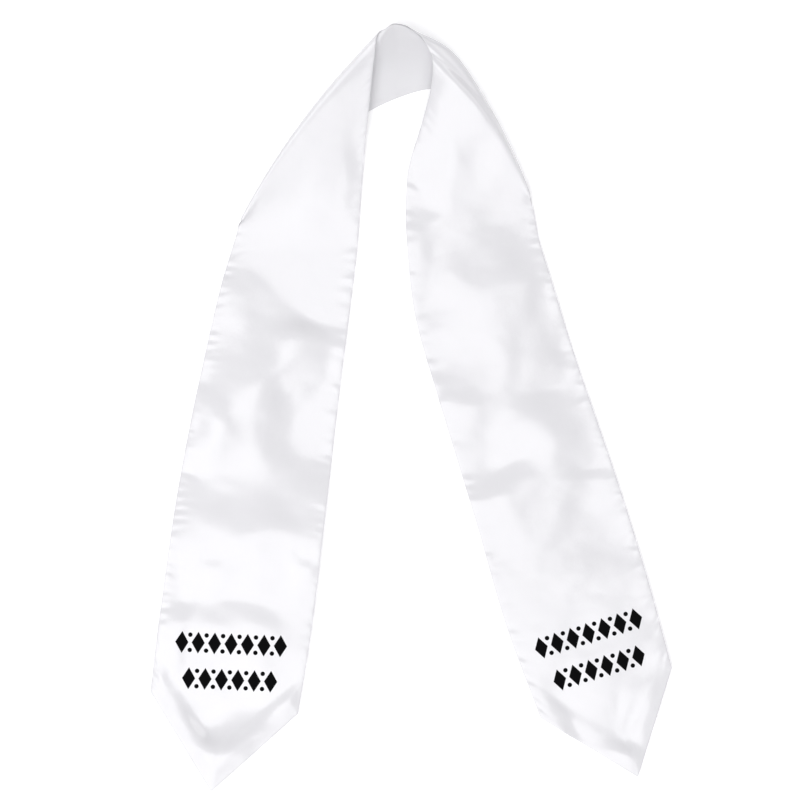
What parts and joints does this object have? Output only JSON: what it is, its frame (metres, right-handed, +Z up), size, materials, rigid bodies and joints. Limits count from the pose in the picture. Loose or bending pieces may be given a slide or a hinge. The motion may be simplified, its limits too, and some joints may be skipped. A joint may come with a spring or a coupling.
{
  "type": "graduation stole",
  "caption": "Long two-layer satin stole with pointed panels, laid out flat with its legs apart and a raised fold at the neck.",
  "frame": {"origin": "middle of the laid stole's bounding box, on the surface it lies on", "axes": "+X across the legs towards the wearer's side that shows right, +Y from the pointed ends to the neck, +Z up from the surface"},
  "size_m": [0.4636, 0.6822, 0.036],
  "materials": {
    "face_satin": "white satin, soft gloss",
    "lining_satin": "white satin back, duller"
  },
  "bodies": {
    "root": {"left_face": "face_satin", "left_lining": "lining_satin", "right_face": "face_satin", "right_lining": "lining_satin"}
  },
  "joints": []
}
